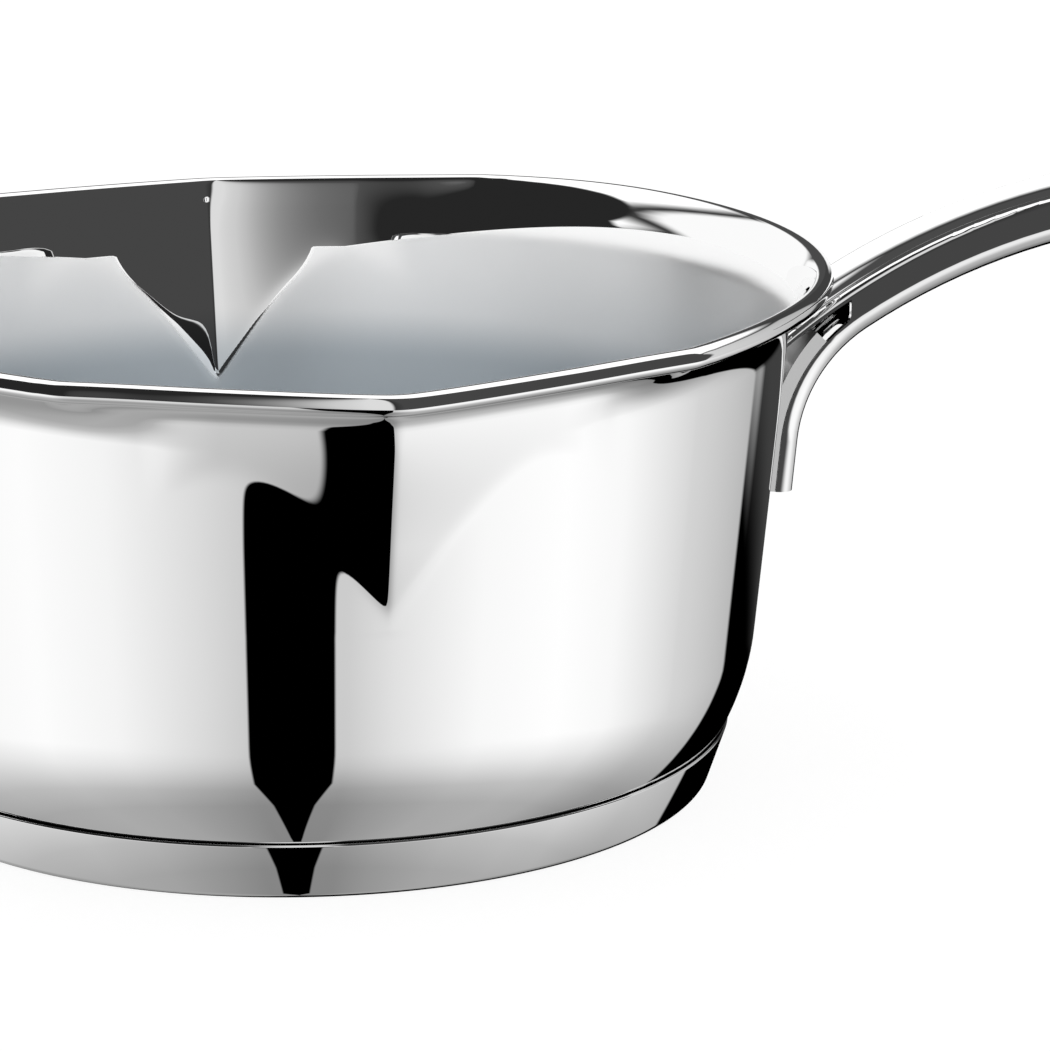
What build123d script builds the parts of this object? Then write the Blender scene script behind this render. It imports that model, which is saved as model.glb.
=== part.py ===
"""Stainless steel milk pan: a tapered vessel with a flared, rolled rim and two pressed pouring
spouts, a capsule base, and a hollow handle of two formed sheets that forks at the wall, where its
lower leg is welded to a bracket. The axis of the vessel is Z, the pan stands on Z = 0, the handle
points along +X and the spouts along +Y and -Y."""

import os
from math import acos, asin, atan, cos, degrees, hypot, pi, radians, sin, sqrt, tan

from build123d import *

os.makedirs("parts", exist_ok=True)

# Overall sizes of the vessel, measured outside
rim_radius = 87.0
pan_height = 84.6
bead_radius = 1.65
sheet = 0.8
wall_taper = 5.65

# Flare of the lip: an arc that turns the wall outwards, then a straight stretch up to the bead
flare_radius = 9.0
flare_angle = 46.0
lip_length = 2.6

# Lower part of the vessel: a long curve, then a tight corner into the flat floor
floor_height = 5.66
corner_radius = 8.0
corner_angle = 28.0
belly_radius = 40.7

# Pouring spouts: flat flanks that meet in a crease, which leans outwards from its foot on the wall
spout_foot = 46.8
flank_slope = 0.30
crease_lean = 14.2
crease_round = 3.0
flank_reach = 23.0
flank_round = 30.0
flank_end_slope = 0.5
flank_end_reach = 34.0
wedge_depth = 12.0

# Rim at the spouts: the flanks cut the lip's circle as chords above a height, round a blunt nose
chord_start_height = 78.0
chord_reach = 50.0
nose_setback = 1.5
nose_round = 20.0
blend_round = 30.0

# Capsule base: an aluminium disc under the floor, closed in by a steel cap
cap_setback = 16.1
cap_spread = 3.3
cap_height = 9.6
cap_sheet = 0.8
cap_foot_round = 1.5
cap_edge_round = 0.25
core_edge_height = 7.2

# Handle: one arc and a straight grip, seen from the side, along the seam of its two sheets
handle_half_width = 8.8
handle_depth = 6.5
handle_sheet = 1.0
seam_radius = 115.0
seam_start_angle = 40.0
seam_end_angle = 4.0
seam_turn_reach = 55.6
seam_turn_rise = 7.4
grip_length = 97.0
ridge_height = 1.4
ridge_width = 1.2
groove_depth = 1.3
side_round = 3.2

# Lower leg of the handle, which turns down beside the wall, and the slot above it
leg_bend_radius = 24.0
leg_bend_start = 31.0
leg_length = 8.5
leg_depth = 3.6
slot_end_reach = 4.3
slot_end_round = 2.2

# Bracket between the wall and the leg
bracket_half_width = 8.6
bracket_thickness = 2.3
bracket_top_angle = 46.0

# Hanging hole near the far end of the grip
hole_radius = 4.0
hole_from_end = 11.0
hole_lining = 1.0

# Clearances and one overrun for every cut
fit_gap = 0.05
overrun = 4.0

# Places that follow the rim's size and height
rim_nose = rim_radius - nose_setback
cap_edge_radius = rim_radius - cap_setback
cap_foot_radius = cap_edge_radius - cap_spread
seam_turn_x = rim_radius + seam_turn_reach
seam_turn_z = pan_height + seam_turn_rise
slot_end_x = rim_radius + slot_end_reach

# Profile of the vessel, worked out from the sizes above
bead_centre_radius = rim_radius - bead_radius
bead_centre_height = pan_height - bead_radius
lip_end_radius = bead_centre_radius - bead_radius * sin(radians(flare_angle))
lip_end_height = bead_centre_height - bead_radius * cos(radians(flare_angle))
flare_end_radius = lip_end_radius - lip_length * sin(radians(flare_angle))
flare_end_height = lip_end_height - lip_length * cos(radians(flare_angle))
flare_centre_radius = flare_end_radius + (flare_radius + sheet / 2) * cos(radians(flare_angle))
flare_centre_height = flare_end_height - (flare_radius + sheet / 2) * sin(radians(flare_angle))
flare_start_height = flare_centre_height + flare_radius * sin(radians(wall_taper))
flare_start_radius = flare_centre_radius - flare_radius * cos(radians(wall_taper))
lip_top = bead_centre_height + bead_radius * 0.12
belly_height = (
    floor_height
    + corner_radius * (1 - sin(radians(corner_angle)))
    + belly_radius * (sin(radians(corner_angle)) - sin(radians(wall_taper)))
)


def wall_radius(height):
    """Outer radius of the straight, tapered wall at a height."""
    return flare_start_radius - (flare_start_height - height) * tan(radians(wall_taper))


def lip_radius(height, inset):
    """Radius of the wall and the flare at a height, on the skin that lies inset from the outside.
    The flare is an arc about its own centre, then a straight line at the flare angle."""
    bend = flare_radius + inset
    arc_start = flare_centre_height + bend * sin(radians(wall_taper))
    arc_end = flare_centre_height + bend * sin(radians(flare_angle))
    if height <= arc_start:
        return wall_radius(height) - inset / cos(radians(wall_taper))
    if height <= arc_end:
        return flare_centre_radius - sqrt(bend**2 - (height - flare_centre_height) ** 2)
    end_radius = flare_centre_radius - bend * cos(radians(flare_angle))
    return end_radius + (height - arc_end) * tan(radians(flare_angle))


def vessel_profile(inset):
    """Half section of the vessel without spouts, on the skin that lies inset from the outside."""
    floor = floor_height + inset
    corner = corner_radius - inset
    belly = belly_radius - inset
    bend = flare_radius + inset
    belly_centre = wall_radius(belly_height) - belly_radius * cos(radians(wall_taper))
    belly_level = belly_height + belly_radius * sin(radians(wall_taper))
    join_radius = belly_centre + belly * cos(radians(corner_angle))
    join_height = belly_level - belly * sin(radians(corner_angle))
    corner_centre = join_radius - corner * cos(radians(corner_angle))
    corner_level = join_height + corner * sin(radians(corner_angle))
    corner_middle = radians((corner_angle + 90) / 2)
    belly_middle = radians((corner_angle + wall_taper) / 2)
    flare_middle = radians((flare_angle + wall_taper) / 2)
    arc_end = flare_centre_height + bend * sin(radians(flare_angle))
    with BuildLine(mode=Mode.PRIVATE) as line:
        Line((0, floor), (corner_centre, floor))
        ThreePointArc(
            (corner_centre, floor),
            (corner_centre + corner * cos(corner_middle), corner_level - corner * sin(corner_middle)),
            (join_radius, join_height),
        )
        ThreePointArc(
            (join_radius, join_height),
            (belly_centre + belly * cos(belly_middle), belly_level - belly * sin(belly_middle)),
            (
                belly_centre + belly * cos(radians(wall_taper)),
                belly_level - belly * sin(radians(wall_taper)),
            ),
        )
        Line(
            (
                belly_centre + belly * cos(radians(wall_taper)),
                belly_level - belly * sin(radians(wall_taper)),
            ),
            (
                flare_centre_radius - bend * cos(radians(wall_taper)),
                flare_centre_height + bend * sin(radians(wall_taper)),
            ),
        )
        ThreePointArc(
            (
                flare_centre_radius - bend * cos(radians(wall_taper)),
                flare_centre_height + bend * sin(radians(wall_taper)),
            ),
            (
                flare_centre_radius - bend * cos(flare_middle),
                flare_centre_height + bend * sin(flare_middle),
            ),
            (flare_centre_radius - bend * cos(radians(flare_angle)), arc_end),
        )
        Polyline(
            (flare_centre_radius - bend * cos(radians(flare_angle)), arc_end),
            (lip_radius(pan_height, inset), pan_height),
            (0, pan_height),
            (0, floor),
        )
    return line.line


def crease_distance(height, inset):
    """Distance of a spout's crease from the middle at a height, on the skin that lies inset."""
    steepness = tan(radians(crease_lean))
    skin = inset * sqrt(1 + flank_slope**2 + steepness**2)
    return wall_radius(spout_foot) + (height - spout_foot) * steepness - skin


def lean_extrude(start):
    """Extrudes the pending sketch outwards along the crease, from a height to above the rim, and
    copies it to the other spout."""
    lean = radians(crease_lean)
    extrude(amount=(pan_height + overrun - start) / cos(lean), dir=(0, sin(lean), cos(lean)))
    mirror(about=Plane.XZ)


def build_wedges(inset):
    """The two V-shaped wedges of metal and hollow that stand out from the wall as spouts."""
    start = spout_foot - overrun
    crease = crease_distance(start, inset)
    turn = crease - flank_slope * flank_reach
    end = turn - flank_end_slope * (flank_end_reach - flank_reach)
    with BuildPart() as wedges:
        with BuildSketch(Plane.XY.offset(start)):
            with BuildLine():
                Polyline(
                    (0, end - wedge_depth),
                    (flank_end_reach, end - wedge_depth),
                    (flank_end_reach, end),
                    (flank_reach, turn),
                    (0, crease),
                )
                mirror(about=Plane.YZ)
            make_face()
            fillet(vertices().sort_by(Axis.Y)[-1], radius=crease_round)
            fillet(vertices().filter_by_position(Axis.Y, turn, turn), radius=flank_round)
        lean_extrude(start)
    return wedges.part


def build_lip_waste(inset):
    """What lies beyond the spouts' flanks in the lip, where they cut its circle as chords."""
    start = chord_start_height
    crease = crease_distance(start, inset)
    with BuildPart() as waste:
        with BuildSketch(Plane.XY.offset(start)):
            with BuildLine():
                Polyline(
                    (0, rim_radius + overrun),
                    (chord_reach, rim_radius + overrun),
                    (chord_reach, crease - flank_slope * chord_reach),
                    (0, crease),
                )
                mirror(about=Plane.YZ)
            make_face()
        lean_extrude(start)
    return waste.part


def build_form(inset):
    """The vessel as one solid lump, bounded by the skin that lies inset from the outside."""
    with BuildPart() as form:
        with BuildSketch(Plane.XZ):
            add(vessel_profile(inset))
            make_face()
        revolve(axis=Axis.Z)
        add(build_lip_waste(inset), mode=Mode.SUBTRACT)
        add(build_wedges(inset))
    return form.part


outer_form = build_form(0)
inner_form = build_form(sheet)

# Bead's centre line in plan: an arc round the nose, the straight flank, a blend and the rim's circle
flank_turn = atan(flank_slope)
nose_centre = rim_nose - nose_round
flank_distance = nose_centre * cos(flank_turn) + nose_round
blend_offset = bead_centre_radius - blend_round
blend_turn = flank_turn + acos((flank_distance - blend_round) / blend_offset)
blend_centre = (-blend_offset * sin(blend_turn), blend_offset * cos(blend_turn))
flank_start = (-nose_round * sin(flank_turn), nose_centre + nose_round * cos(flank_turn))
flank_end = (
    blend_centre[0] - blend_round * sin(flank_turn),
    blend_centre[1] + blend_round * cos(flank_turn),
)
rim_start = (-bead_centre_radius * sin(blend_turn), bead_centre_radius * cos(blend_turn))


def across_rim(place, turn):
    """Plane across the bead's centre line at a place, where the line has turned by an angle."""
    return Plane((place[0], place[1], bead_centre_height), z_dir=(-cos(turn), -sin(turn), 0))


with BuildPart() as bead:
    with BuildSketch(across_rim(flank_start, flank_turn)):
        Circle(bead_radius)
    extrude(amount=hypot(flank_end[0] - flank_start[0], flank_end[1] - flank_start[1]))
    with BuildSketch(across_rim(flank_end, flank_turn)):
        Circle(bead_radius)
    revolve(
        axis=Axis((blend_centre[0], blend_centre[1], 0), (0, 0, 1)),
        revolution_arc=degrees(blend_turn - flank_turn),
    )
    mirror(about=Plane.YZ)
    mirror(about=Plane.XZ)
    with BuildSketch(across_rim((-flank_start[0], flank_start[1]), -flank_turn)):
        Circle(bead_radius)
    revolve(axis=Axis((0, nose_centre, 0), (0, 0, 1)), revolution_arc=2 * degrees(flank_turn))
    with BuildSketch(across_rim((flank_start[0], -flank_start[1]), pi - flank_turn)):
        Circle(bead_radius)
    revolve(axis=Axis((0, -nose_centre, 0), (0, 0, 1)), revolution_arc=2 * degrees(flank_turn))
    with BuildSketch(across_rim(rim_start, blend_turn)):
        Circle(bead_radius)
    revolve(axis=Axis.Z, revolution_arc=180 - 2 * degrees(blend_turn))
    with BuildSketch(across_rim((-rim_start[0], -rim_start[1]), pi + blend_turn)):
        Circle(bead_radius)
    revolve(axis=Axis.Z, revolution_arc=180 - 2 * degrees(blend_turn))

# Pan body: one pressed sheet with a rolled bead round its lip
with BuildPart() as pan_body:
    add(outer_form)
    add(inner_form, mode=Mode.SUBTRACT)
    with BuildSketch(Plane.XY.offset(lip_top)):
        Circle(rim_radius + overrun)
    extrude(amount=pan_height + overrun - lip_top, mode=Mode.SUBTRACT)
    add(bead.part)

# Capsule base: the cap's side leans outwards to the height where it grips the vessel
cap_lean = atan((cap_edge_radius - cap_foot_radius) / cap_height)


def cap_side(height, inset):
    """Radius of the cap's side at a height, on the skin that lies inset from the outside."""
    return cap_foot_radius + height * tan(cap_lean) - inset / cos(cap_lean)


with BuildPart() as base_core:
    with BuildSketch(Plane.XZ):
        with BuildLine():
            Polyline(
                (0, cap_sheet),
                (cap_side(cap_sheet, cap_sheet), cap_sheet),
                (cap_side(core_edge_height, cap_sheet), core_edge_height),
                (0, core_edge_height),
                close=True,
            )
        make_face()
        foot = vertices().group_by(Axis.Y)[0].sort_by(Axis.X)[-1]
        fillet(foot, radius=cap_foot_round - cap_sheet)
    revolve(axis=Axis.Z)
    add(outer_form, mode=Mode.SUBTRACT)

with BuildPart() as base_cap:
    with BuildSketch(Plane.XZ):
        with BuildLine():
            Polyline(
                (0, 0),
                (cap_foot_radius, 0),
                (cap_edge_radius, cap_height),
                (0, cap_height),
                close=True,
            )
        make_face()
        fillet(vertices().group_by(Axis.Y)[0].sort_by(Axis.X)[-1], radius=cap_foot_round)
        fillet(vertices().group_by(Axis.Y)[-1].sort_by(Axis.X)[-1], radius=cap_edge_round)
    revolve(axis=Axis.Z)
    add(outer_form, mode=Mode.SUBTRACT)
    add(base_core.part, mode=Mode.SUBTRACT)

# Side view of the handle: the arc's centre, points along the seam and the leg's own centre
seam_centre_x = seam_turn_x + seam_radius * sin(radians(seam_end_angle))
seam_centre_z = seam_turn_z - seam_radius * cos(radians(seam_end_angle))
leg_radius = leg_bend_radius + handle_depth
leg_seat_radius = leg_bend_radius + leg_depth
leg_end_angle = 90 - wall_taper


def seam_point(angle):
    """Point of the seam's arc where it climbs at an angle."""
    return (
        seam_centre_x - seam_radius * sin(radians(angle)),
        seam_centre_z + seam_radius * cos(radians(angle)),
    )


leg_centre_x = seam_point(leg_bend_start)[0] + leg_radius * sin(radians(leg_bend_start))
leg_centre_z = seam_point(leg_bend_start)[1] - leg_radius * cos(radians(leg_bend_start))


def leg_point(angle, radius, along=0):
    """Point beside the leg's bend where it climbs at an angle, then along its straight end."""
    return (
        leg_centre_x - radius * sin(radians(angle)) - along * cos(radians(angle)),
        leg_centre_z + radius * cos(radians(angle)) - along * sin(radians(angle)),
    )


grip_end = (
    seam_turn_x + grip_length * cos(radians(seam_end_angle)),
    seam_turn_z + grip_length * sin(radians(seam_end_angle)),
)
grip_axis = (cos(radians(seam_end_angle)), 0, sin(radians(seam_end_angle)))
grip_normal = (-sin(radians(seam_end_angle)), 0, cos(radians(seam_end_angle)))
grip_end_plane = Plane((grip_end[0], 0, grip_end[1]), x_dir=grip_axis, z_dir=grip_normal)

with BuildLine(Plane.XZ) as top_path:
    ThreePointArc(
        seam_point(seam_start_angle),
        seam_point((seam_start_angle + seam_end_angle) / 2),
        seam_point(seam_end_angle),
    )
    Line(seam_point(seam_end_angle), grip_end)

with BuildLine(Plane.XZ) as bottom_path:
    Line(leg_point(leg_end_angle, leg_radius, leg_length), leg_point(leg_end_angle, leg_radius))
    ThreePointArc(
        leg_point(leg_end_angle, leg_radius),
        leg_point((leg_end_angle + leg_bend_start) / 2, leg_radius),
        leg_point(leg_bend_start, leg_radius),
    )
    ThreePointArc(
        seam_point(leg_bend_start),
        seam_point((leg_bend_start + seam_end_angle) / 2),
        seam_point(seam_end_angle),
    )
    Line(seam_point(seam_end_angle), grip_end)


def across(path):
    """Plane across a path at its start, with its X along the width and its Y away from the leg."""
    return Plane(path @ 0, x_dir=(0, 1, 0), z_dir=path % 0)


def round_end(half_width):
    """What lies beyond the grip's rounded end, seen from above."""
    with BuildPart() as waste:
        with BuildSketch(grip_end_plane):
            with Locations((overrun / 2 - handle_half_width / 2, 0)):
                Rectangle(handle_half_width + overrun, 2 * (handle_half_width + overrun))
            with Locations((-handle_half_width, 0)):
                Circle(half_width, mode=Mode.SUBTRACT)
        extrude(amount=handle_depth + overrun, both=True)
    return waste.part


def build_channel(half_width, depth, corner):
    """The lower sheet's form, filled solid: a flat-topped channel along the leg and the grip."""
    with BuildPart() as channel:
        with BuildSketch(across(bottom_path.line)):
            with BuildLine():
                FilletPolyline(
                    (-half_width, 0), (-half_width, -depth), (half_width, -depth), (half_width, 0),
                    radius=corner,
                )
                Line((half_width, 0), (-half_width, 0))
            make_face()
        sweep(path=bottom_path.line)
        add(round_end(half_width), mode=Mode.SUBTRACT)
    return channel.part


hole_place = (-hole_from_end, 0)

with BuildPart() as channel_hollow:
    add(build_channel(handle_half_width - handle_sheet, handle_depth - handle_sheet, side_round - handle_sheet))
    with BuildSketch(grip_end_plane):
        with Locations(hole_place):
            Circle(hole_radius + hole_lining)
    extrude(amount=-handle_depth, mode=Mode.SUBTRACT)

# Upper sheet of the handle: a shallow groove between two ridges, whose near end is the tongue
with BuildPart() as handle_top:
    ridge_place = handle_half_width - ridge_width
    edge_middle = (
        handle_half_width - ridge_width * (1 - cos(pi / 4)),
        ridge_height - ridge_width * (1 - sin(pi / 4)),
    )
    with BuildSketch(across(top_path.line)):
        with BuildLine():
            ThreePointArc(
                (-ridge_place, ridge_height), (0, ridge_height - groove_depth), (ridge_place, ridge_height)
            )
            ThreePointArc(
                (ridge_place, ridge_height), edge_middle, (handle_half_width, ridge_height - ridge_width)
            )
            Polyline(
                (handle_half_width, ridge_height - ridge_width),
                (handle_half_width, 0),
                (handle_half_width - handle_sheet, 0),
            )
            ThreePointArc(
                (handle_half_width - handle_sheet, 0),
                (0, ridge_height - groove_depth - handle_sheet),
                (-handle_half_width + handle_sheet, 0),
            )
            Polyline(
                (-handle_half_width + handle_sheet, 0),
                (-handle_half_width, 0),
                (-handle_half_width, ridge_height - ridge_width),
            )
            ThreePointArc(
                (-handle_half_width, ridge_height - ridge_width),
                (-edge_middle[0], edge_middle[1]),
                (-ridge_place, ridge_height),
            )
        make_face()
    sweep(path=top_path.line)
    add(round_end(handle_half_width), mode=Mode.SUBTRACT)
    add(outer_form, mode=Mode.SUBTRACT)
    with BuildSketch(grip_end_plane):
        with Locations(hole_place):
            Circle(hole_radius)
    extrude(amount=handle_depth + overrun, both=True, mode=Mode.SUBTRACT)

# Lower sheet of the handle: a channel, cut back to the leg's depth beside the slot
with BuildPart() as handle_bottom:
    add(build_channel(handle_half_width, handle_depth, side_round))
    add(channel_hollow.part, mode=Mode.SUBTRACT)
    add(handle_top.part, mode=Mode.SUBTRACT)
    slot_start = degrees(asin((leg_centre_x - slot_end_x) / leg_seat_radius))
    slot_top = seam_point(leg_bend_start)[1] + overrun
    slot_left = leg_point(leg_end_angle, leg_radius, leg_length)[0] - overrun
    slot_low = leg_point(leg_end_angle, leg_seat_radius, leg_length + overrun)
    with BuildSketch(Plane.XZ):
        with BuildLine():
            ThreePointArc(
                leg_point(slot_start, leg_seat_radius),
                leg_point((slot_start + leg_end_angle) / 2, leg_seat_radius),
                leg_point(leg_end_angle, leg_seat_radius),
            )
            Polyline(
                leg_point(leg_end_angle, leg_seat_radius),
                slot_low,
                (slot_left, slot_low[1]),
                (slot_left, slot_top),
                (slot_end_x, slot_top),
                leg_point(slot_start, leg_seat_radius),
            )
        make_face()
        inner_corner = vertices().sort_by_distance(Vector(*leg_point(slot_start, leg_seat_radius)))[0]
        fillet(inner_corner, radius=slot_end_round)
    extrude(amount=handle_half_width + overrun, both=True, mode=Mode.SUBTRACT)
    with BuildSketch(grip_end_plane):
        with Locations(hole_place):
            Circle(hole_radius)
    extrude(amount=handle_depth + overrun, both=True, mode=Mode.SUBTRACT)

# Bracket: a bent plate that follows the leg, welded to the wall behind it
bracket_face = leg_seat_radius + fit_gap
bracket_back = bracket_face + bracket_thickness
with BuildPart() as handle_bracket:
    with BuildSketch(Plane.XZ):
        with BuildLine():
            for radius in (bracket_face, bracket_back):
                ThreePointArc(
                    leg_point(bracket_top_angle, radius),
                    leg_point((bracket_top_angle + leg_end_angle) / 2, radius),
                    leg_point(leg_end_angle, radius),
                )
                Line(
                    leg_point(leg_end_angle, radius),
                    leg_point(leg_end_angle, radius, leg_length),
                )
            for angle, along in ((bracket_top_angle, 0), (leg_end_angle, leg_length)):
                Line(leg_point(angle, bracket_face, along), leg_point(angle, bracket_back, along))
        make_face()
    extrude(amount=bracket_half_width, both=True)
    add(outer_form, mode=Mode.SUBTRACT)

pieces = {
    "pan_body": pan_body,
    "base_core": base_core,
    "base_cap": base_cap,
    "handle_bottom": handle_bottom,
    "handle_top": handle_top,
    "handle_bracket": handle_bracket,
}
for name, piece in pieces.items():
    piece.part.label = name
    export_step(piece.part, f"parts/{name}.step")
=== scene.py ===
"""Stainless steel milk pan on a white studio floor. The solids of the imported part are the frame. The
vessel and its base are drawn as smooth surfaces worked out from the pan's own sizes, and the handle's
three pieces as merged copies of their solids."""

import bpy
import numpy as np
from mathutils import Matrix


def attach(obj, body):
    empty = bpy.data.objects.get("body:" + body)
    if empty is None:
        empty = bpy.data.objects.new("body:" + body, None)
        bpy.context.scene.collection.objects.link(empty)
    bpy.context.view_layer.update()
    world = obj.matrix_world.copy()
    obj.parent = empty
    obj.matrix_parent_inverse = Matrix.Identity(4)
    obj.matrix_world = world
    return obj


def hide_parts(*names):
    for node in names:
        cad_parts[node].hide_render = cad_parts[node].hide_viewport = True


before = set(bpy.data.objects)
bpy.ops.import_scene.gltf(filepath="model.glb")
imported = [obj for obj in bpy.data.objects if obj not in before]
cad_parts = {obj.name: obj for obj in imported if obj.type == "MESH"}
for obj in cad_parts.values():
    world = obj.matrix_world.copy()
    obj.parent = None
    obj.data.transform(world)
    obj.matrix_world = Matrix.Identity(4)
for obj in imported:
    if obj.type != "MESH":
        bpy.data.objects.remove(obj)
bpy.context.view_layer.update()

mm = 0.001

# Vessel
rim_radius = 87.0 * mm
pan_height = 84.6 * mm
bead_radius = 1.65 * mm
bead_wrap = 1.5 * np.pi
bead_clearance = 0.1 * mm
sheet = 0.8 * mm
wall_taper = np.radians(5.65)
flare_radius = 9.0 * mm
flare_angle = np.radians(46)
lip_length = 2.6 * mm
floor_height = 5.66 * mm
corner_radius = 8.0 * mm
corner_angle = np.radians(28)
belly_radius = 40.7 * mm

# Pouring spouts. A turn is an angle round the pan, measured from the nearest crease
spout_foot = 46.8 * mm
spout_margin = 3.0 * mm
spout_half_turn = np.radians(40)
crease_lean = np.radians(14.2)
crease_end = 84.85 * mm
crease_softness = 0.5 * mm
nose_softness = 1.2 * mm
edge_softness = 0.2 * mm
crease_slope = 0.20
crease_reach = 9.0 * mm
flank_slope = 0.33
flank_fade_turn = np.radians(27)
chord_low = 75.0 * mm
chord_high = 80.0 * mm
chord_softness = 1.6 * mm

# Rim: how the wall is drawn on to the bead, and how the rim sinks towards the spouts
draw_height = 4.0 * mm
tilt_step = 0.6 * mm
join_rise = 5.2 * mm
dip_start = 45.0 * mm
dip_radius = 385.0 * mm
dip_foot = 58.0 * mm
dip_rise = 4.0 * mm

# Satin inside: its upper edge rises from the spouts to the handle's line, and the flanks are polished
satin_low = 71.8 * mm
satin_high = 79.0 * mm
satin_low_turn = np.radians(17)
satin_high_turn = np.radians(75)
polished_turn = np.radians(10)
polished_end_turn = np.radians(15)
polished_step = 0.12 * mm
polished_weight = 4
satin_blur = 0.12
# Painted shade: the inside's colour turns grey between these heights, darker lower down, standing in for the
# shade deep in the pan
painted_shade_start = 61.0 * mm
painted_shade_end = 51.0 * mm

# Capsule base
cap_foot_radius = 67.6 * mm
cap_edge_radius = 70.9 * mm
cap_height = 9.6 * mm
cap_foot_round = 1.5 * mm
cap_edge_round = 0.25 * mm
cap_edge_width = 0.3 * mm
cap_edge_drop = 0.4 * mm
cap_grip = 1.2 * mm

# Upper sheet of the handle, in its section: a groove's arc between two ridges
seam_turn = (142.6 * mm, 92.0 * mm)
seam_radius = 115.0 * mm
seam_end_angle = np.radians(4)
ridge_place = 7.6 * mm
ridge_width = 1.2 * mm
ridge_foot = 0.2 * mm
groove_low = 0.1 * mm
groove_radius = 22.87 * mm
groove_margin = 0.25 * mm
least_upward = 0.2
no_length = 1e-9

# Rows and columns of the computed surfaces, and the grid on which merged corners meet
spout_columns = 84
plain_columns = 24
column_power = 1.15
section_rows = 14
wall_steps = 70
join_steps = 9
bead_steps = 37
cap_columns = 288
cap_flat_rows = 12
cap_foot_rows = 13
cap_edge_rows = 7
merge_grid = 0.0005 * mm

# Finishes, and the colour of the painted shade low inside the pan
pan_colour = (0.96, 0.96, 0.96)
painted_shade_colour = (0.58, 0.62, 0.65)
cap_colour = (0.92, 0.92, 0.92)
handle_colour = (0.94, 0.94, 0.94)
bracket_colour = (0.5, 0.5, 0.5)
core_colour = (0.8, 0.8, 0.8)
mirror_roughness = 0
satin_roughness = 0.3
core_roughness = 0.4

# Sizes that follow from those above
bead_centre_radius = rim_radius - bead_radius
bead_centre_height = pan_height - bead_radius
lip_end_radius = bead_centre_radius - bead_radius * np.sin(flare_angle)
lip_end_height = bead_centre_height - bead_radius * np.cos(flare_angle)
flare_end_radius = lip_end_radius - lip_length * np.sin(flare_angle)
flare_end_height = lip_end_height - lip_length * np.cos(flare_angle)
flare_centre_radius = flare_end_radius + (flare_radius + sheet / 2) * np.cos(flare_angle)
flare_centre_height = flare_end_height - (flare_radius + sheet / 2) * np.sin(flare_angle)
flare_start_height = flare_centre_height + flare_radius * np.sin(wall_taper)
flare_start_radius = flare_centre_radius - flare_radius * np.cos(wall_taper)
corner_rise = corner_radius * (1 - np.sin(corner_angle))
belly_rise = belly_radius * (np.sin(corner_angle) - np.sin(wall_taper))
belly_height = floor_height + corner_rise + belly_rise
pressed_foot = spout_foot - spout_margin
flank_near_turn = np.arctan(flank_slope)


def smooth_step(share):
    """0 below 0, 1 above 1, and 3 s squared minus 2 s cubed between."""
    share = np.clip(share, 0, 1)
    return share * share * (3 - 2 * share)


def soft_larger(one, other, softness):
    """The larger of two values, with the corner between them rounded as a hyperbola."""
    return (one + other + np.sqrt((one - other) ** 2 + softness**2)) / 2


def wall_radius(height):
    """Outer radius of the straight, tapered wall: a line at the taper's angle to the axis."""
    return flare_start_radius - (flare_start_height - height) * np.tan(wall_taper)


def lip_radius(height, inset):
    """Radius of the wall, the flare's arc and the straight lip above it, on the skin that lies inset
    from the outside: a line, then a circle about the flare's centre, then a line at the flare angle."""
    bend = flare_radius + inset
    arc_start = flare_centre_height + bend * np.sin(wall_taper)
    arc_end = flare_centre_height + bend * np.sin(flare_angle)
    rise = np.clip(height, arc_start, arc_end) - flare_centre_height
    arc = flare_centre_radius - np.sqrt(bend**2 - rise**2)
    below = wall_radius(height) - inset / np.cos(wall_taper)
    above = arc + (height - arc_end) * np.tan(flare_angle)
    return np.where(height <= arc_start, below, np.where(height <= arc_end, arc, above))


def crease_radius(height, inset):
    """Distance of a crease from the axis: a parabola that leaves its foot at the crease's lean and
    straightens up to reach its end at the bead's height."""
    skin = inset * np.sqrt(1 + flank_slope**2 + np.tan(crease_lean) ** 2)
    above = height - spout_foot
    whole = bead_centre_height - spout_foot
    bow = (np.tan(crease_lean) * whole - crease_end + wall_radius(spout_foot)) / whole**2
    return wall_radius(spout_foot) + above * np.tan(crease_lean) - above**2 * bow - skin


def flank_radius(turn, height, inset):
    """Radius of the spout's flank. Each flank leans out with the crease and falls away from it, gently
    at the crease and then at the flank's full slope, the change dying out as an exponential. The corner
    between the two flanks is rounded as a hyperbola, more widely at the rim than low down."""
    nose = smooth_step((height - chord_low) / (bead_centre_height - chord_low))
    softness = crease_softness + (nose_softness - crease_softness) * nose
    crease = crease_radius(height, inset)
    reach = crease / (np.cos(turn) + flank_slope * np.sin(turn))
    aside = reach * np.sin(turn)
    gentle = (flank_slope - crease_slope) * crease_reach * (1 - np.exp(-aside / crease_reach))
    return reach + gentle - crease_slope * (np.sqrt(aside**2 + softness**2) - aside)


def pressed_radius(turn, height, inset):
    """Radius of a skin of the wall. Near the crease it is the larger of the straight wall and the
    flank, which takes the lip's place. Beyond the flank's nearest point to the axis the flank fades
    into the wall low down, and in the lip it is a chord, where the skin is the lesser of the two."""
    lip = lip_radius(height, inset)
    straight = wall_radius(height) - inset / np.cos(wall_taper)
    flank = soft_larger(flank_radius(turn, height, inset), straight, edge_softness)
    aside = smooth_step((turn - flank_near_turn) / (flank_fade_turn - flank_near_turn))
    low = lip + (flank - lip) * (1 - aside)
    towards_end = (turn - flank_fade_turn) / (spout_half_turn - flank_fade_turn)
    softness = chord_softness * (1 - smooth_step(towards_end))
    chord = np.where(turn < spout_half_turn, -soft_larger(-flank, -lip, softness), lip)
    high = flank + (chord - flank) * aside
    return low + (high - low) * smooth_step((height - chord_low) / (chord_high - chord_low))


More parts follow.
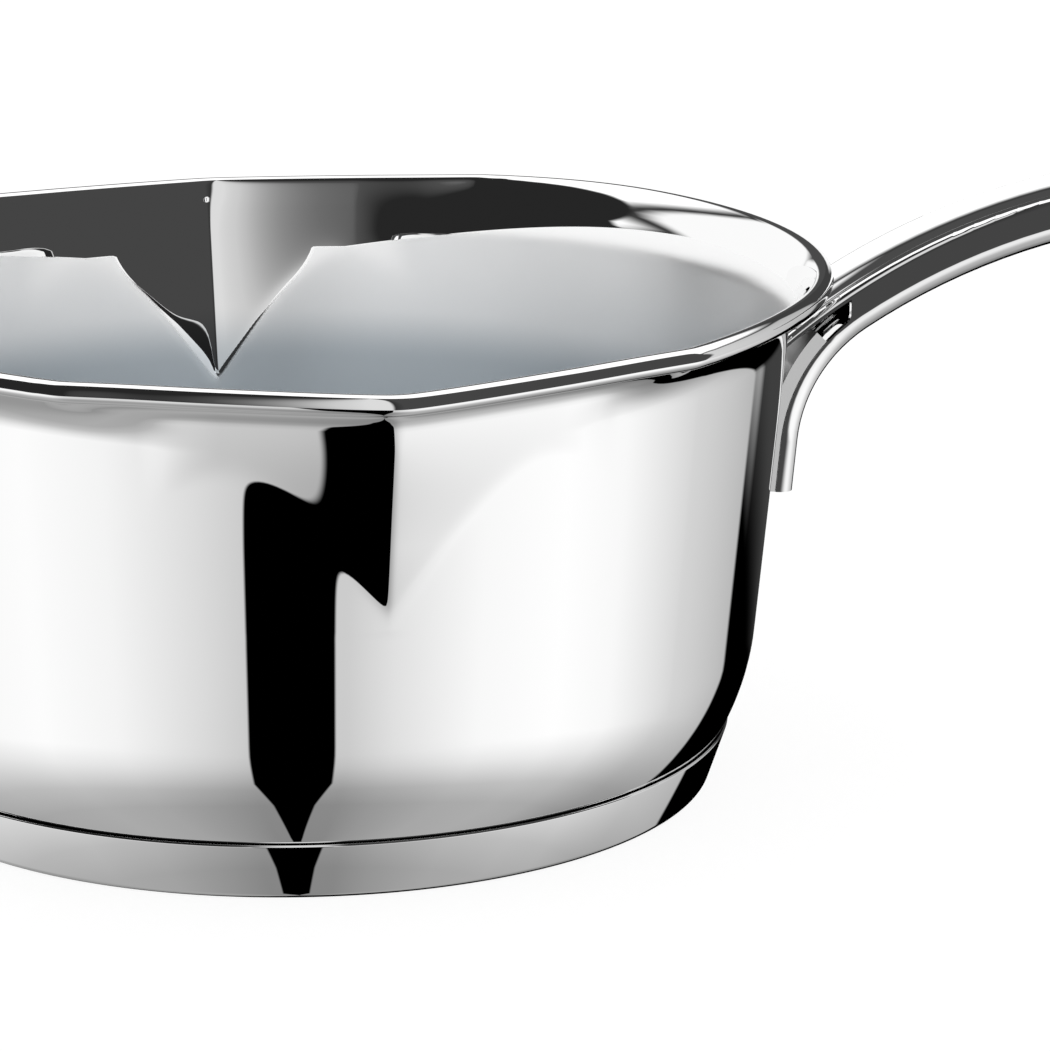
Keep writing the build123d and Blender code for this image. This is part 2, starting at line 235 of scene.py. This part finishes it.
def rim_tilt(turn):
    """Angle to the axis at which the wall or the lip meets the bead, from two points of its outside."""
    top = pressed_radius(turn, bead_centre_height, 0)
    return np.arctan((top - pressed_radius(turn, bead_centre_height - tilt_step, 0)) / tilt_step)


def rim_line_radius(turn):
    """Radius of the bead's centre line: the inside of the wall at the bead's height and the level part
    of the bead's radius, but at most the rim's own circle."""
    line = pressed_radius(turn, bead_centre_height, sheet) + bead_radius * np.cos(rim_tilt(turn))
    return -soft_larger(-line, -bead_centre_radius, edge_softness)


def skin_radius(turn, height, inset):
    """The pressed wall's radius, its last stretch drawn on to the bead: outside on to the bead's centre
    line, and inside on to the bead's inner edge."""
    aim = rim_line_radius(turn) - np.sign(inset) * bead_radius * np.cos(rim_tilt(turn))
    gap = aim - pressed_radius(turn, bead_centre_height, inset)
    share = smooth_step((height - bead_centre_height + draw_height) / draw_height)
    return pressed_radius(turn, height, inset) + gap * share


def sunk(height, along):
    """Height after the rim's sinking: an arc of the dip's radius, faded in above the dip's foot."""
    beyond = np.maximum(np.abs(along) - dip_start, 0)
    dip = dip_radius - np.sqrt(dip_radius**2 - beyond**2)
    return height - dip * smooth_step((height - dip_foot) / (flare_start_height + dip_rise - dip_foot))


def lower_section(inset):
    """Half section below the spouts as radius and height: floor, corner arc, belly arc and wall."""
    corner = corner_radius - inset
    belly = belly_radius - inset
    belly_centre = wall_radius(belly_height) - belly_radius * np.cos(wall_taper)
    belly_level = belly_height + belly_radius * np.sin(wall_taper)
    corner_centre = belly_centre + (belly - corner) * np.cos(corner_angle)
    corner_level = belly_level - (belly - corner) * np.sin(corner_angle)
    fall = np.linspace(np.pi / 2, corner_angle, section_rows)[1:]
    bend = np.linspace(corner_angle, wall_taper, section_rows)[1:]
    climb = np.linspace(belly_level - belly * np.sin(wall_taper), pressed_foot, section_rows)[1:]
    floor = np.linspace(0, 1, section_rows) * corner_centre
    corner_arc = corner_centre + corner * np.cos(fall)
    belly_arc = belly_centre + belly * np.cos(bend)
    radius = np.concatenate([floor, corner_arc, belly_arc, lip_radius(climb, inset)])
    floor_level = np.full(section_rows, floor_height + inset)
    corner_levels = corner_level - corner * np.sin(fall)
    belly_levels = belly_level - belly * np.sin(bend)
    height = np.concatenate([floor_level, corner_levels, belly_levels, climb])
    return radius, height


def wall_rows(turn, height, inset):
    """Rows of the pressed wall, one for each height, on the skin that lies inset from the outside."""
    level = height[:, None] * np.ones_like(turn)
    return skin_radius(turn, level, inset), level


def join_rows(turn, wall):
    """Rows from the wall's last row to the bead: a cubic curve in each section, which leaves along the
    wall and arrives along the bead, as the sum of both ends and both slopes by their cubic shares."""
    start = np.stack([wall[0][-1], wall[1][-1]])
    before = skin_radius(turn, start[1] - tilt_step, sheet)
    leave = np.stack([start[0] - before, tilt_step * np.ones_like(turn)])
    leave = leave / np.linalg.norm(leave, axis=0)
    tilt = rim_tilt(turn)
    bead_line = skin_radius(turn, bead_centre_height, 0)
    end_radius = bead_line - bead_radius * np.cos(tilt)
    end = np.stack([end_radius, bead_centre_height + bead_radius * np.sin(tilt)])
    arrive = np.stack([np.sin(tilt), np.cos(tilt)])
    span = np.hypot(end[0] - start[0], end[1] - start[1])
    share = np.linspace(0, 1, join_steps)[1:-1, None, None]
    start_share, leave_share = 2 * share**3 - 3 * share**2 + 1, share**3 - 2 * share**2 + share
    end_share, arrive_share = 3 * share**2 - 2 * share**3, share**3 - share**2
    join = start_share * start + leave_share * span * leave + end_share * end + arrive_share * span * arrive
    return join[:, 0], join[:, 1]


def bead_rows(turn):
    """Rows round the bead: an arc about the bead's centre line, from the lip's inside over the top."""
    bead_line = skin_radius(turn, bead_centre_height, 0)
    around = (np.pi - rim_tilt(turn)) - np.linspace(0, bead_wrap, bead_steps)[:, None]
    return bead_line + bead_radius * np.cos(around), bead_centre_height + bead_radius * np.sin(around)


def rim_angles():
    """Angles round the pan from one crease to the next, twice. In a spout's half they are a power of
    even shares, closer together at the crease."""
    near = spout_half_turn * np.linspace(0, 1, spout_columns, endpoint=False) ** column_power
    far = np.linspace(spout_half_turn, np.pi / 2, plain_columns, endpoint=False)
    quarter = np.concatenate([near, far])
    half = np.concatenate([quarter, [np.pi / 2], np.pi - quarter[:0:-1]])
    return np.concatenate([half, np.pi + half])


def satin_distance(turn, radius, height):
    """Distance in millimetres inside the satin's edge, at most 1. The edge rises with the turn as a
    quarter of a sine wave, and keeps out of the flanks where they stand proud of the plain wall."""
    share = np.clip((turn - satin_low_turn) / (satin_high_turn - satin_low_turn), 0, 1)
    edge = satin_low + (satin_high - satin_low) * np.sin(share * np.pi / 2)
    proud = radius - lip_radius(height, sheet)
    fade = 1 - smooth_step((turn - polished_turn) / (polished_end_turn - polished_turn))
    flank = (proud * fade - polished_step) / mm
    return np.clip(np.minimum((edge - height) / mm, -polished_weight * flank), -1, 1)


def turned_faces(rows, columns):
    """Faces of a closed surface of rows of points round the axis, with one point at each pole. Each
    row is joined to the next one by four-sided faces, and the end rows to their pole by triangles."""
    index = 1 + np.arange(rows * columns).reshape(rows, columns)
    after = np.roll(index, -1, axis=1)
    sides = np.stack([index[:-1], after[:-1], after[1:], index[1:]], axis=-1).reshape(-1, 4)
    last = rows * columns + 1
    start = np.stack([np.zeros(columns, int), after[0], index[0]], axis=-1)
    end = np.stack([np.full(columns, last), index[-1], after[-1]], axis=-1)
    return sides.tolist() + start.tolist() + end.tolist()


def new_piece(name, points, faces, material, smooth_angle=40):
    """A mesh object from points and faces, smooth except where faces meet sharply."""
    mesh = bpy.data.meshes.new(name)
    mesh.from_pydata(points.tolist(), [], faces)
    mesh.validate()
    mesh.shade_smooth()
    mesh.set_sharp_from_angle(angle=np.radians(smooth_angle))
    piece = bpy.data.objects.new(name, mesh)
    bpy.context.scene.collection.objects.link(piece)
    mesh.materials.append(material)
    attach(piece, "root")
    return piece


def pan_shell(material):
    """The vessel as one closed surface: up the inside, over the bead and down the outside. Each row of
    points has a radius and a height for every angle round the pan. A point lies across by the radius
    times the angle's sine, along by minus the radius times its cosine, and up by the sunk height."""
    angle = rim_angles()
    turn = np.minimum(angle % np.pi, np.pi - angle % np.pi)
    around = np.ones_like(angle)
    climb = np.linspace(pressed_foot, bead_centre_height, wall_steps)[1:]
    inner_radius, inner_height = lower_section(sheet)
    outer_radius, outer_height = lower_section(0)
    inner_wall = wall_rows(turn, climb[climb < flare_start_height + join_rise], sheet)
    bead = bead_rows(turn)
    lip_bottom = bead[1][-1].min() - bead_clearance
    rows = [
        (inner_radius[1:, None] * around, inner_height[1:, None] * around),
        inner_wall,
        join_rows(turn, inner_wall),
        bead,
        wall_rows(turn, climb[climb < lip_bottom][::-1], 0),
        (outer_radius[:0:-1, None] * around, outer_height[:0:-1, None] * around),
    ]
    radius = np.concatenate([row[0] for row in rows])
    height = np.concatenate([row[1] for row in rows])
    along = -radius * np.cos(angle)
    points = np.stack([radius * np.sin(angle), along, sunk(height, along)], axis=-1).reshape(-1, 3)
    points = np.concatenate([[[0, 0, inner_height[0]]], points, [[0, 0, outer_height[0]]]])
    faces = turned_faces(len(radius), len(angle))
    piece = new_piece("pan_shell", points, faces, material)

    inside = sum(len(row[0]) for row in rows[:3])
    satin = satin_distance(turn, radius, height)
    satin[inside:] = -1
    # Painted shade: the inside's share of grey colour, growing lower down
    painted_shade = smooth_step((painted_shade_start - height) / (painted_shade_start - painted_shade_end))
    painted_shade[inside:] = 0
    for name, values in (("satin", satin), ("painted_shade", painted_shade)):
        mask = piece.data.attributes.new(name, "FLOAT", "POINT")
        mask.data.foreach_set("value", np.concatenate([[1], values.ravel(), [values[-1, 0]]]))
    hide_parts("pan_body")


def base_capsule(material):
    """The steel cap as one closed turned surface: underside, foot round, leaning side and top edge,
    then back inside it against the vessel's corner and along the disc."""
    lean = np.arctan((cap_edge_radius - cap_foot_radius) / cap_height)
    foot_turn = np.linspace(-np.pi / 2, -lean, cap_foot_rows)
    foot_centre = cap_foot_radius + cap_foot_round * (np.tan(lean) - 1 / np.cos(lean))
    edge_turn = np.linspace(-lean, np.pi / 2, cap_edge_rows)
    edge_height = cap_height - cap_edge_round
    edge_centre = cap_foot_radius + edge_height * np.tan(lean) - cap_edge_round / np.cos(lean)
    disc_radius = cap_foot_radius + sheet * np.tan(lean) - sheet / np.cos(lean)
    flat = np.linspace(0, 1, cap_flat_rows)[1:]
    radius = np.concatenate(
        [
            flat[:-1] * foot_centre,
            foot_centre + cap_foot_round * np.cos(foot_turn),
            edge_centre + cap_edge_round * np.cos(edge_turn),
            [edge_centre - cap_edge_width, cap_foot_radius - sheet, disc_radius],
            flat[::-1][1:] * disc_radius,
        ]
    )
    height = np.concatenate(
        [
            np.zeros(len(flat) - 1),
            cap_foot_round + cap_foot_round * np.sin(foot_turn),
            edge_height + cap_edge_round * np.sin(edge_turn),
            [cap_height - cap_edge_drop, floor_height + cap_grip, sheet],
            np.full(len(flat) - 1, sheet),
        ]
    )
    angle = np.linspace(0, 2 * np.pi, cap_columns, endpoint=False)
    across, along = radius[:, None] * np.cos(angle), radius[:, None] * np.sin(angle)
    up = height[:, None] * np.ones_like(angle)
    points = np.stack([across, along, up], axis=-1).reshape(-1, 3)
    points = np.concatenate([[[0, 0, 0]], points, [[0, 0, sheet]]])
    faces = turned_faces(len(radius), cap_columns)
    piece = new_piece("base_capsule", points, faces, material)
    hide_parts("base_cap")


def merged_copy(node, name, material):
    """A copy of a solid's mesh with its triangles joined where their corners round to one place of a
    fine grid, smooth except at real edges."""
    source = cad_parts[node].data
    corners = np.empty(len(source.vertices) * 3)
    source.vertices.foreach_get("co", corners)
    loops = np.empty(len(source.loops), int)
    source.loops.foreach_get("vertex_index", loops)
    places = np.round(corners.reshape(-1, 3) / merge_grid)
    points, index = np.unique(places, axis=0, return_inverse=True)
    triangles = index.ravel()[loops].reshape(-1, 3)
    first, second, third = triangles.T
    whole = (first != second) & (second != third) & (third != first)
    faces = triangles[whole].tolist()
    piece = new_piece(name, points * merge_grid, faces, material, smooth_angle=50)
    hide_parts(node)
    return piece


def round_ridges(piece):
    """Gives the handle's upper sheet the normals of its exact section, for even reflections. Along the
    seam's arc and the straight grip, a point's place in the section is its height over the seam. The
    groove's normals point at its arc's centre, and a ridge's away from the ridge's centre."""
    mesh = piece.data
    corners = np.empty(len(mesh.vertices) * 3)
    mesh.vertices.foreach_get("co", corners)
    loops = np.empty(len(mesh.loops), int)
    mesh.loops.foreach_get("vertex_index", loops)
    points = corners.reshape(-1, 3)[loops].reshape(-1, 3, 3)
    normals = np.array([normal.vector[:] for normal in mesh.corner_normals]).reshape(-1, 3, 3)

    # Place of each corner: along the seam, over it and to its side
    forward, aside, up = points[..., 0], points[..., 1], points[..., 2]
    centre_x = seam_turn[0] + seam_radius * np.sin(seam_end_angle)
    centre_z = seam_turn[1] - seam_radius * np.cos(seam_end_angle)
    climb = np.arctan2(centre_x - forward, up - centre_z)
    curved = climb > seam_end_angle
    angle = np.where(curved, climb, seam_end_angle)
    over_arc = np.hypot(forward - centre_x, up - centre_z) - seam_radius
    over_grip = (up - seam_turn[1]) * np.cos(angle) - (forward - seam_turn[0]) * np.sin(angle)
    rise = np.where(curved, over_arc, over_grip)

    # Faces of the groove and of the ridges, found by their middles
    middle_rise = rise.mean(axis=1, keepdims=True)
    middle_aside = aside.mean(axis=1, keepdims=True)
    in_width = np.minimum(middle_aside**2, ridge_place**2)
    groove_rise = groove_low + groove_radius - np.sqrt(groove_radius**2 - in_width)
    between_ridges = np.abs(middle_aside) < ridge_place
    in_groove = between_ridges & (np.abs(middle_rise - groove_rise) < groove_margin)
    on_ridge = (np.abs(middle_aside) > ridge_place) & (middle_rise > ridge_foot)
    upward = normals.mean(axis=1, keepdims=True)[..., 2] > least_upward

    across = np.where(in_groove, -aside, aside - np.sign(middle_aside) * ridge_place)
    out = np.where(in_groove, groove_low + groove_radius - rise, rise - ridge_foot)
    length = np.maximum(np.hypot(across, out), no_length)
    exact = np.stack([-np.sin(angle) * out, across, np.cos(angle) * out], axis=-1) / length[..., None]
    chosen = ((in_groove & upward) | on_ridge) & (length > ridge_width / 2)
    normals = np.where(chosen[..., None], exact, normals)
    mesh.normals_split_custom_set(normals.reshape(-1, 3).tolist())


def metal(name, colour, roughness):
    """A bare metal with one colour and one roughness on the shader's own sockets."""
    material = bpy.data.materials.new(name)
    material.use_nodes = True
    shader = material.node_tree.nodes["Principled BSDF"]
    shader.inputs["Base Color"].default_value = (*colour, 1)
    shader.inputs["Metallic"].default_value = 1
    shader.inputs["Roughness"].default_value = roughness
    return material


def pan_steel():
    """Polished steel, satin on the inside of the satin's edge, and greyer low down inside as painted shade.
    The surface's satin value is its distance in millimetres inside that edge, and its painted shade value
    the share of grey."""
    material = metal("pan_steel", pan_colour, mirror_roughness)
    nodes, links = material.node_tree.nodes, material.node_tree.links
    shader = nodes["Principled BSDF"]
    satin = nodes.new("ShaderNodeAttribute")
    satin.attribute_name = "satin"
    finish = nodes.new("ShaderNodeMapRange")
    finish.inputs["From Min"].default_value = -satin_blur
    finish.inputs["From Max"].default_value = satin_blur
    finish.inputs["To Min"].default_value = mirror_roughness
    finish.inputs["To Max"].default_value = satin_roughness
    links.new(satin.outputs["Fac"], finish.inputs["Value"])
    links.new(finish.outputs["Result"], shader.inputs["Roughness"])
    # Painted shade: the base colour is mixed towards grey by the painted shade value
    painted_shade = nodes.new("ShaderNodeAttribute")
    painted_shade.attribute_name = "painted_shade"
    colour = nodes.new("ShaderNodeMix")
    colour.data_type = "RGBA"
    colour.inputs["A"].default_value = (*pan_colour, 1)
    colour.inputs["B"].default_value = (*painted_shade_colour, 1)
    links.new(painted_shade.outputs["Fac"], colour.inputs["Factor"])
    links.new(colour.outputs["Result"], shader.inputs["Base Color"])
    return material


pan_shell(pan_steel())
base_capsule(metal("cap_steel", cap_colour, mirror_roughness))
handle_steel = metal("handle_steel", handle_colour, mirror_roughness)
bracket_steel = metal("bracket_steel", bracket_colour, satin_roughness)
round_ridges(merged_copy("handle_top", "handle_upper_sheet", handle_steel))
merged_copy("handle_bottom", "handle_lower_sheet", handle_steel)
merged_copy("handle_bracket", "leg_bracket", bracket_steel)

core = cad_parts["base_core"]
core.data.materials.clear()
core.data.materials.append(metal("core_aluminium", core_colour, core_roughness))

# Camera, as seen from the pan: its place, its turn from the pan's own axes in degrees, and its lens
camera_place = (-136.7 * mm, -752.4 * mm, 245.0 * mm)
camera_down = 14.972
camera_turn = -13.1
camera_lens = 165.97
sensor_width = 36
camera_azimuth = np.arctan2(camera_place[0], -camera_place[1])

# Floor: half its side in metres, its grey level and its glow
floor_half = 12.0
floor_grey = 0.4
floor_glow = 0.65

# What polished steel sees of the studio. Heights are degrees above the horizon, and azimuths degrees
# round from the camera. Each table of levels has a place and a grey level in each row, and each pair of
# places is where a shade starts to change and where it has changed
wall_levels = (
    (-180, 0.62),
    (-150, 0.66),
    (-119, 0.84),
    (-98, 0.95),
    (-68, 1.02),
    (-46, 0.94),
    (-24, 0.74),
    (-12, 0.62),
    (12, 0.63),
    (24, 0.78),
    (46, 0.98),
    (68, 1.04),
    (85, 0.98),
    (110, 0.68),
    (142, 0.46),
    (180, 0.46),
)
table_levels = ((-90, 0.38), (-53, 0.42), (-45, 0.53), (-35, 0.84), (-28, 1.0), (0, 1.0))
table_edge = (-18.5, -15.5)
corner_right = (135, 137)
corner_left = (-164, -168)

# The dark upright strip: its middle, its half width where it is widest, and the shares of that width
strip_middle = -1.7
strip_widest = 20
strip_shares = ((-90, 0.0), (-75, 0.12), (-53, 0.33), (-42, 0.545), (0, 0.545))
strip_edge = (-0.4, 0.4)

# The room over the table, on the camera's side and beyond the pan
room_levels = (
    (-180, 0.02),
    (-22, 0.02),
    (-15, 0.08),
    (-12.5, 0.28),
    (-9, 0.60),
    (-4, 0.74),
    (8, 0.74),
    (12, 0.03),
    (25, 0.06),
    (90, 0.06),
    (180, 0.06),
)
room_side = (-0.1, -0.06)
beyond_levels = (
    (-180, 0.07),
    (-167, 0.07),
    (-163, 1.0),
    (-97, 1.0),
    (97, 0.66),
    (140, 0.46),
    (143, 0.01),
    (165, 0.01),
    (170, 0.07),
    (180, 0.07),
)
beyond_least = 0.05
beyond_top = (31, 27)
soft_box_edge = (30, 38)
soft_box_level = 1.2
backdrop_top = (8, 4)
backdrop_foot = (-14, -6)
backdrop_side = (160, 166)


def studio_floor():
    """A large white floor, most of it glowing, so that it reads white and keeps a soft shadow."""
    half = floor_half
    mesh = bpy.data.meshes.new("studio_floor")
    corners = [(-half, -half, 0), (half, -half, 0), (half, half, 0), (-half, half, 0)]
    mesh.from_pydata(corners, [], [(0, 1, 2, 3)])
    floor = bpy.data.objects.new("studio_floor", mesh)
    bpy.context.scene.collection.objects.link(floor)
    material = bpy.data.materials.new("floor_white")
    material.use_nodes = True
    shader = material.node_tree.nodes["Principled BSDF"]
    shader.inputs["Base Color"].default_value = (floor_grey, floor_grey, floor_grey, 1)
    shader.inputs["Roughness"].default_value = 1
    shader.inputs["Specular IOR Level"].default_value = 0
    shader.inputs["Emission Color"].default_value = (1, 1, 1, 1)
    shader.inputs["Emission Strength"].default_value = floor_glow
    mesh.materials.append(material)
    floor.visible_glossy = False


def studio_light():
    """A white world. Mirror-like surfaces see a studio in it instead: a pale table that darkens
    downwards, with a dark upright strip and a dark corner, and over it a dark room with bright areas.
    Every shade is worked out from the direction's azimuth and height."""
    world = bpy.data.worlds.new("white_studio")
    bpy.context.scene.world = world
    world.use_nodes = True
    nodes, links = world.node_tree.nodes, world.node_tree.links
    direction = nodes.new("ShaderNodeTexCoord").outputs["Generated"]

    def math(operation, *values):
        """The result of one sum on the values, each a number or another node's result."""
        node = nodes.new("ShaderNodeMath")
        node.operation = operation
        for socket, value in zip(node.inputs, values):
            if isinstance(value, bpy.types.NodeSocket):
                links.new(value, socket)
            else:
                socket.default_value = value
        return node.outputs["Value"]

    def along(axis):
        """How far the direction goes along an axis."""
        node = nodes.new("ShaderNodeVectorMath")
        node.operation = "DOT_PRODUCT"
        links.new(direction, node.inputs[0])
        node.inputs[1].default_value = axis
        return node.outputs["Value"]

    def levels(position, table):
        """Grey levels of a table at a position, in even changes from each place to the next."""
        low, high = table[0][0], table[-1][0]
        ramp = nodes.new("ShaderNodeValToRGB")
        stops = ramp.color_ramp.elements
        for place, _ in table[1:-1]:
            stops.new((place - low) / (high - low))
        for stop, (_, level) in zip(stops, table):
            stop.color = (level, level, level, 1)
        share = math("DIVIDE", math("SUBTRACT", position, low), high - low)
        links.new(share, ramp.inputs["Fac"])
        return ramp.outputs["Color"]

    def rises(position, places):
        """0 before the first of two places and 1 past the second, in a smooth step between them."""
        start, end = places
        node = nodes.new("ShaderNodeMapRange")
        node.interpolation_type = "SMOOTHSTEP"
        links.new(position, node.inputs["Value"])
        node.inputs["From Min"].default_value = min(start, end)
        node.inputs["From Max"].default_value = max(start, end)
        node.inputs["To Min"].default_value = float(start > end)
        node.inputs["To Max"].default_value = float(start < end)
        return node.outputs["Result"]

    def blend(one, other, share):
        """One result at a share of 0, the other at 1."""
        return math("ADD", math("MULTIPLY", other, share), math("MULTIPLY", one, math("SUBTRACT", 1, share)))

    towards = along((np.sin(camera_azimuth), -np.cos(camera_azimuth), 0))
    right = along((np.cos(camera_azimuth), np.sin(camera_azimuth), 0))
    azimuth = math("MULTIPLY", math("ARCTAN2", right, towards), np.degrees(1))
    height = math("MULTIPLY", math("ARCSINE", along((0, 0, 1))), np.degrees(1))

    corner = math("MAXIMUM", rises(azimuth, corner_right), rises(azimuth, corner_left))
    strip_width = math("MULTIPLY", levels(height, strip_shares), strip_widest)
    from_middle = math("ABSOLUTE", math("SUBTRACT", azimuth, strip_middle))
    strip = rises(math("SUBTRACT", strip_width, from_middle), strip_edge)
    light = math("MULTIPLY", levels(azimuth, wall_levels), levels(height, table_levels))
    table = math("MULTIPLY", light, math("SUBTRACT", 1, math("MAXIMUM", corner, strip)))

    beyond = math("MULTIPLY", levels(azimuth, beyond_levels), rises(height, beyond_top))
    soft_box = math("MULTIPLY", rises(height, soft_box_edge), soft_box_level)
    backdrop = math("MULTIPLY", rises(height, backdrop_top), rises(height, backdrop_foot))
    backdrop = math("MULTIPLY", backdrop, rises(math("ABSOLUTE", azimuth), backdrop_side))
    beyond = math("MAXIMUM", math("MAXIMUM", beyond, beyond_least), math("MAXIMUM", soft_box, backdrop))
    room = blend(beyond, levels(azimuth, room_levels), rises(towards, room_side))

    seen = blend(table, room, rises(height, table_edge))
    light_path = nodes.new("ShaderNodeLightPath")
    mirrored = math("MULTIPLY", light_path.outputs["Is Glossy Ray"], light_path.outputs["Is Singular Ray"])
    mix = nodes.new("ShaderNodeMix")
    mix.data_type = "RGBA"
    mix.inputs["A"].default_value = (1, 1, 1, 1)
    links.new(mirrored, mix.inputs["Factor"])
    links.new(seen, mix.inputs["B"])
    links.new(mix.outputs["Result"], nodes["Background"].inputs["Color"])


studio_floor()
studio_light()

camera_data = bpy.data.cameras.new("camera")
camera_data.lens = camera_lens
camera_data.sensor_width = sensor_width
camera_data.sensor_fit = "HORIZONTAL"
camera = bpy.data.objects.new("camera", camera_data)
camera.location = camera_place
camera.rotation_euler = (np.radians(90 - camera_down), 0, np.radians(camera_turn))
bpy.context.scene.collection.objects.link(camera)
bpy.context.scene.camera = camera
bpy.context.scene.view_settings.view_transform = "Standard"
